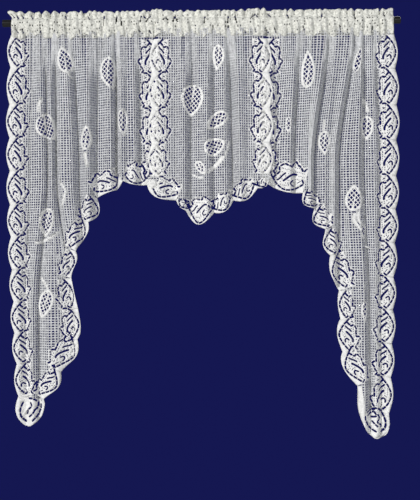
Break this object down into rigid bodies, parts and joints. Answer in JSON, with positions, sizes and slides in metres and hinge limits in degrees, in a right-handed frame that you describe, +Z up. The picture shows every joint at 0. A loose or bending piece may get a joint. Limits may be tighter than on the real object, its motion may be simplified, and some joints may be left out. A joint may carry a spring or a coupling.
{
  "type": "swag and tail drape on a rod",
  "caption": "Lace swags that fall into long scalloped tails, with a pointed centre insert in front, gathered by header and pocket on a plain straight rod.",
  "frame": {"origin": "centre of the rod's left end face, seen from the room", "axes": "+X along the rod towards its right end, +Z up, -Y towards the room"},
  "size_m": [0.895, 0.0406, 0.9675],
  "materials": {
    "lace": "matte",
    "rod": "satin black"
  },
  "bodies": {
    "root": {"rod": "rod", "left_swag": "lace", "right_swag": "lace", "centre_insert": "lace"}
  },
  "joints": []
}
